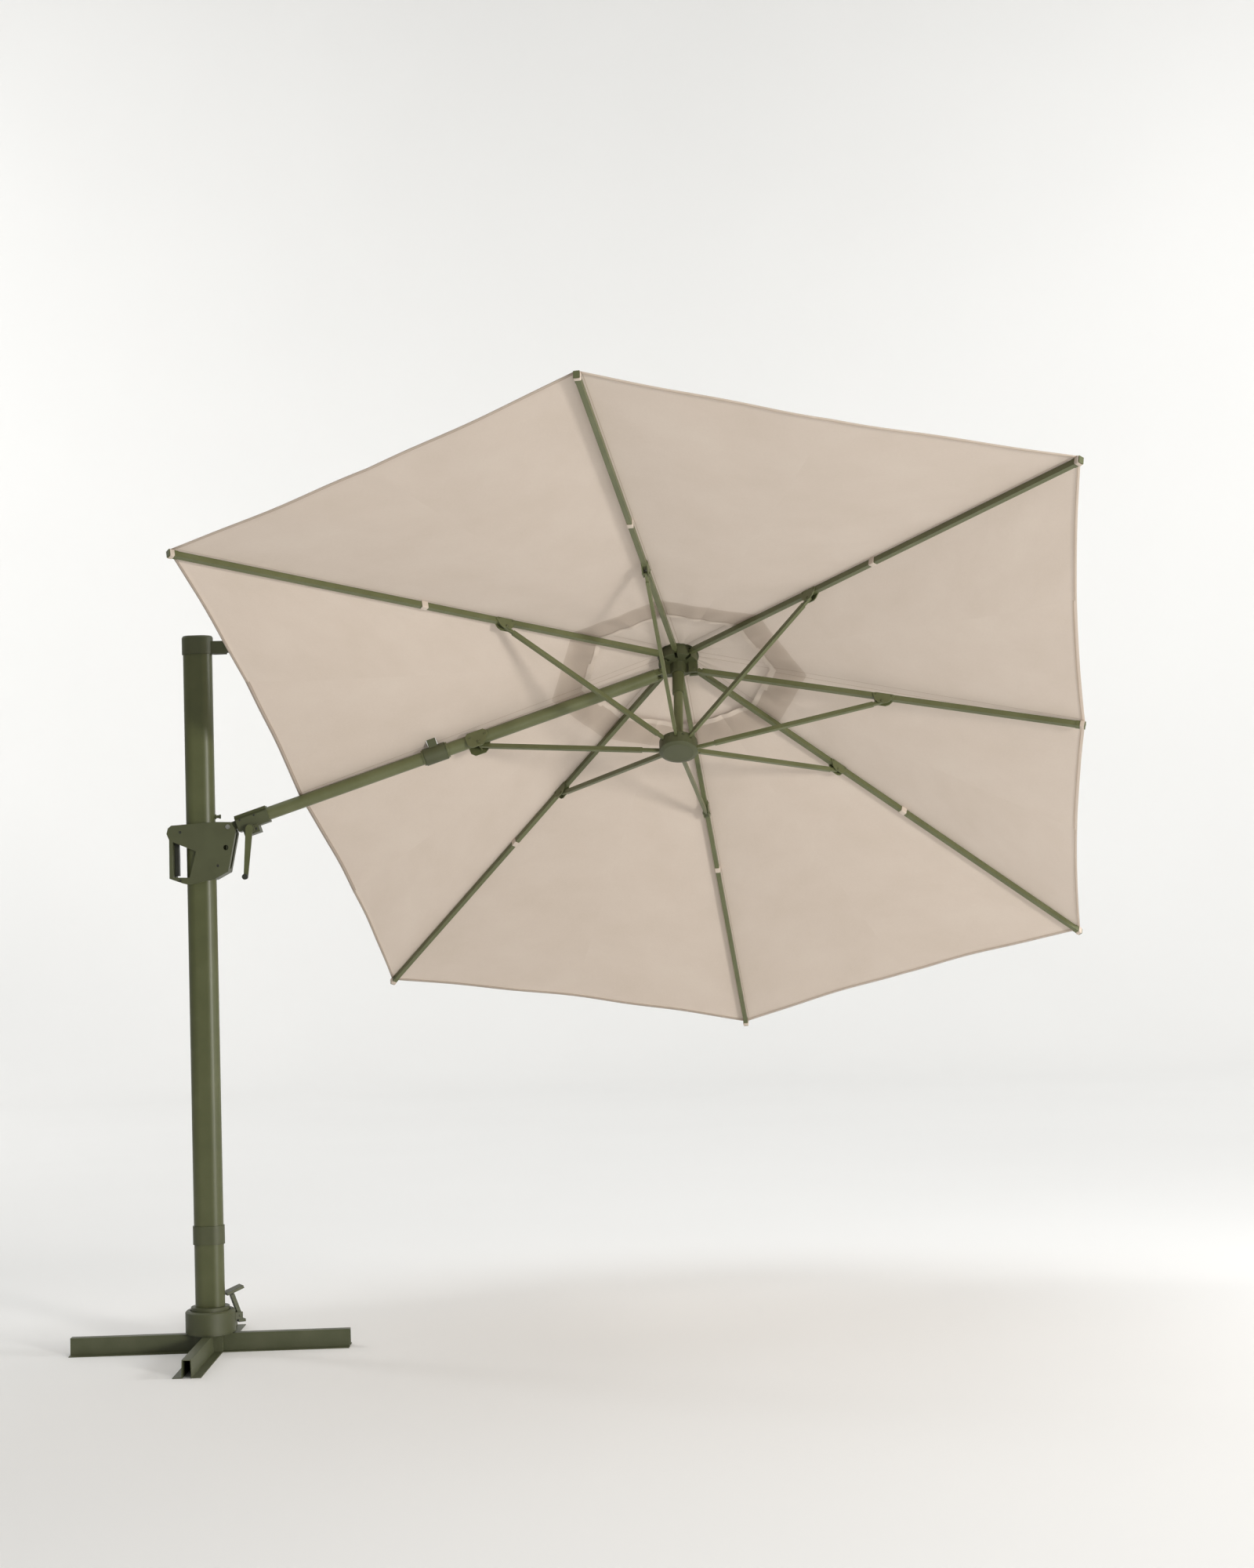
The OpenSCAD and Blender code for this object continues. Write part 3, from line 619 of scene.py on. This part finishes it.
# %% Loops round the ribs
def rib_frame(letter):
    """A frame on a rib: x outwards along it, z up from it."""
    angle = spoke_angle[letter]
    slope, drop = (SHORT_SLOPE, SHORT_DROP) if letter == "d" else (LONG_SLOPE, 0.0)
    return (
        crown_frame
        @ Matrix.Rotation(angle, 4, "Z")
        @ Matrix.Translation((PIVOT_R, 0, -drop))
        @ Matrix.Rotation(slope, 4, "Y")
    )


def loop_section(half_w, low, high, corner, steps=4):
    """A rounded rectangle in the yz plane, as (y, z) points."""
    out = []
    for cy, cz, start in (
        (half_w - corner, high - corner, 0),
        (-half_w + corner, high - corner, 90),
        (-half_w + corner, low + corner, 180),
        (half_w - corner, low + corner, 270),
    ):
        for s in range(steps + 1):
            a = math.radians(start + 90 * s / steps)
            out.append((cy + corner * math.cos(a), cz + corner * math.sin(a)))
    return out


def tube_points(sections):
    """Rings of points from (x, outline) sections and the faces between them, closed as a band."""
    points, faces = [], []
    count = len(sections[0][1])
    for x, outline in sections:
        points += [(x, y, z) for y, z in outline]
    for s in range(len(sections) - 1):
        for i in range(count):
            k = (i + 1) % count
            faces.append((s * count + i, s * count + k, (s + 1) * count + k, (s + 1) * count + i))
    return points, faces


def make_band(name, letter, stations, thick, material, body):
    """A band with real thickness: an outer skin and an inner skin, joined at both ends."""
    outer = [(x, loop_section(w, low, high, c)) for x, w, low, high, c in stations]
    inner = [(x, loop_section(w - thick, low + thick, high - thick, c)) for x, w, low, high, c in stations]
    points, faces = tube_points(outer)
    more, inside = tube_points(inner)
    shift, count = len(points), len(outer[0][1])
    points += more
    faces += [tuple(reversed([i + shift for i in f])) for f in inside]
    last = (len(stations) - 1) * count
    for i in range(count):
        k = (i + 1) % count
        faces.append((k, i, shift + i, shift + k))
        faces.append((last + i, last + k, shift + last + k, shift + last + i))
    piece = make_piece(name, place(rib_frame(letter), points), faces, material, body, 50)
    layer = piece.data.uv_layers.new(name="flat")
    for loop in piece.data.loops:
        x, y, z = points[loop.vertex_index]
        layer.data[loop.index].uv = (x, y + z)
    return piece


LOOP_AT = 1.045
for letter in LONG_LETTERS:
    stations = [
        (LOOP_AT - 0.0120, 0.0098, -0.0120, 0.0136, 0.003),
        (LOOP_AT - 0.0100, 0.0102, -0.0124, 0.0136, 0.003),
        (LOOP_AT + 0.0100, 0.0102, -0.0124, 0.0136, 0.003),
        (LOOP_AT + 0.0120, 0.0098, -0.0120, 0.0136, 0.003),
    ]
    make_band("strap_loop_" + letter, letter, stations, 0.0012, webbing, "rib_" + letter)
print("made", len(LONG_LETTERS), "strap loops")

# %% Corner pockets
rib_length = {letter: (LONG_REACH - PIVOT_R) / math.cos(LONG_SLOPE) for letter in LONG_LETTERS}
rib_length["d"] = (SHORT_REACH - PIVOT_R) / math.cos(SHORT_SLOPE)
for letter, tip in rib_length.items():
    stations = [
        (tip - 0.019, 0.0108, -0.0106, 0.0138, 0.003),
        (tip - 0.016, 0.0112, -0.0132, 0.0138, 0.004),
        (tip - 0.007, 0.0112, -0.0132, 0.0138, 0.004),
        (tip - 0.004, 0.0108, -0.0128, 0.0138, 0.004),
    ]
    make_band("corner_pocket_" + letter, letter, stations, 0.0012, webbing, "rib_" + letter)
print("made", len(rib_length), "corner pockets")

# %% [markdown]
# ## Rivets and screws
# The brackets are folded plates held by rivets, and the stays turn on rivets too. A rivet head is a
# low dome about 9 mm across. One mesh holds all the heads of one rib.

# %% Rivet heads
def dome(centre, axis, radius, height, rings=4, around=16):
    """Points and faces of a low dome on a plane through centre, facing along axis."""
    axis = Vector(axis).normalized()
    side = axis.orthogonal().normalized()
    other = axis.cross(side)
    points, faces = [], []
    for r in range(rings):
        a = math.radians(90 * r / rings)
        for i in range(around):
            t = 2 * math.pi * i / around
            out = side * math.cos(t) + other * math.sin(t)
            points.append(Vector(centre) + out * radius * math.cos(a) + axis * height * math.sin(a))
    points.append(Vector(centre) + axis * height)
    for r in range(rings - 1):
        for i in range(around):
            k = (i + 1) % around
            faces.append((r * around + i, r * around + k, (r + 1) * around + k, (r + 1) * around + i))
    top = (rings - 1) * around
    faces += [(top + i, top + (i + 1) % around, len(points) - 1) for i in range(around)]
    faces.append(tuple(reversed(range(around))))
    return points, faces


def make_heads(name, matrix, heads, material, body):
    """One mesh of several domes, each as (centre, axis, radius, height) in a local frame."""
    points, faces = [], []
    for centre, axis, radius, height in heads:
        p, f = dome(centre, axis, radius, height)
        faces += [tuple(i + len(points) for i in face) for face in f]
        points += p
    return make_piece(name, place(matrix, [tuple(p) for p in points]), faces, material, body, 60)


bracket_at = {letter: 0.7128 for letter in LONG_LETTERS}
bracket_at["d"] = 0.7075
for letter, x in bracket_at.items():
    heads = []
    for s in (-1, 1):
        heads.append(((x, s * 0.0118, -0.022), (0, s, 0), 0.0060, 0.0026))
        for dx in (-0.028, 0.030):
            heads.append(((x + dx, s * 0.0110, 0.003), (0, s, 0), 0.0042, 0.0020))
    name, body = "bracket_rivets_" + letter, "rib_" + letter
    make_heads(name, rib_frame(letter), heads, powder_coat, body)
print("riveted", len(bracket_at), "brackets")

# %% Rivets on the boom bracket, socket and collar
BOOM_HINGE = BOOM_LENGTH - (SHORT_DROP - CROWN_RISE) * math.sin(BOOM_RISE) - PIVOT_R * math.cos(BOOM_RISE)
bx = BOOM_HINGE - 0.716
heads = []
for s in (-1, 1):
    heads.append(((bx, s * 0.030, -0.033), (0, s, 0), 0.0065, 0.003))
    heads.append(((bx - 0.028, s * 0.028, -0.006), (0, s, 0), 0.005, 0.0025))
    heads.append(((bx + 0.028, s * 0.028, -0.006), (0, s, 0), 0.005, 0.0025))
    heads.append(((BOOM_HINGE, s * 0.021, 0), (0, s, 0), 0.008, 0.0035))
make_heads("boom_rivets", roll_frame, heads, powder_coat, "boom")
heads = []
for s in (-1, 1):
    heads.append(((0.795, s * 0.021, 0.0875), (0, s, 0), 0.008, 0.0035))
    for x, z in ((0.046, 0.010), (0.100, 0.010)):
        heads.append(((x, s * 0.0298, z), (0, s, 0), 0.0042, 0.0014))
    heads.append(((0.094, s * 0.038, -0.040), (0, s, 0), 0.0042, 0.0014))
    heads.append(((0.052, s * 0.038, -0.046), (0, s, 0), 0.0042, 0.0014))
make_heads("socket_screws", boom_frame, heads, nylon_dark, "carrier")
print("fixings made")

# %% [markdown]
# ## Floor, light and camera
# The umbrella stands on a plain pale floor that curves up behind it into the backdrop, as in a photo
# studio. Large soft lamps give one broad key from the front right and a gentle fill.

# %% Studio floor
def make_floor():
    material, tree, out = start_material("matt studio paper")
    where = add(tree, "TexCoord").outputs["Object"]
    cloud = add(tree, "TexNoise", Vector=where, Scale=0.6, Detail=2.0)
    colour = ramp(tree, cloud.outputs["Fac"], [(0.2, "#F0F0EF"), (0.8, "#F2F2F1")])
    skin = add(tree, "BsdfPrincipled", Base_Color=colour, Roughness=0.9)
    tree.links.new(skin.outputs[0], out.inputs["Surface"])
    cove, start, top = 4.0, 12.0, 19.0
    profile = [(-16.0, 0.0), (start, 0.0)]
    for a in np.linspace(0.1, math.pi / 2, 14):
        profile.append((start + cove * math.sin(a), cove - cove * math.cos(a)))
    profile.append((start + cove, top))
    points = [(x, y, z) for y, z in profile for x in (-28.0, 30.0)]
    faces = [(2 * i, 2 * i + 1, 2 * i + 3, 2 * i + 2) for i in range(len(profile) - 1)]
    mesh = bpy.data.meshes.new("studio_floor")
    mesh.from_pydata(points, [], faces)
    mesh.polygons.foreach_set("use_smooth", [True] * len(mesh.polygons))
    mesh.materials.append(material)
    floor = bpy.data.objects.new("studio_floor", mesh)
    bpy.context.scene.collection.objects.link(floor)
    return floor


make_floor()
print("floor ready")

# %% Lights
def add_lamp(name, place_at, aim, size, watts, colour="#FFFFFF"):
    data = bpy.data.lights.new(name, "AREA")
    data.shape, data.size, data.energy = "DISK", size, watts
    data.color = linear(colour)[:3]
    lamp = bpy.data.objects.new(name, data)
    bpy.context.scene.collection.objects.link(lamp)
    lamp.location = place_at
    lamp.rotation_mode = "QUATERNION"
    lamp.rotation_quaternion = (Vector(aim) - Vector(place_at)).to_track_quat("-Z", "Y")
    return lamp


add_lamp("key", (8.2, -9.8, 2.1), (1.4, 0, 2.0), 1.7, 850, "#FFFCF7")
add_lamp("side", (8.0, -1.0, 3.2), (0.2, 0, 1.4), 1.6, 190)
add_lamp("overhead", (1.2, -1.0, 9.5), (1.2, -1.0, 0), 9.0, 260)
add_lamp("backdrop_left", (-9.8, 6.0, 9.5), (-2.5, 16, 4.2), 6.6, 780)
add_lamp("backdrop_right", (12.8, 6.0, 9.5), (5.5, 16, 4.2), 6.6, 720)
world = bpy.data.worlds.new("studio")
world.use_nodes = True
world.node_tree.nodes["Background"].inputs["Color"].default_value = linear("#F3F2EE")
world.node_tree.nodes["Background"].inputs["Strength"].default_value = 0.36
bpy.context.scene.world = world
bpy.context.scene.view_settings.view_transform = "Standard"

# %% Camera
CAMERA_AT = Vector((1.3955, -8.2382, 1.5056))
YAW, PITCH, ROLL = (math.radians(a) for a in (1.1223, 3.3870, -1.7662))
ahead = Vector((math.sin(YAW) * math.cos(PITCH), math.cos(YAW) * math.cos(PITCH), math.sin(PITCH)))
right = Vector((math.cos(YAW), -math.sin(YAW), 0))
up = right.cross(ahead)
right, up = math.cos(ROLL) * right + math.sin(ROLL) * up, -math.sin(ROLL) * right + math.cos(ROLL) * up
camera = bpy.data.objects.new("camera", bpy.data.cameras.new("camera"))
bpy.context.scene.collection.objects.link(camera)
camera.data.sensor_width = 36.0
camera.data.lens = 51.79
camera.matrix_world = Matrix.Translation(CAMERA_AT) @ Matrix((right, up, -ahead)).transposed().to_4x4()
bpy.context.scene.camera = camera
print("camera at", [round(x, 2) for x in CAMERA_AT])
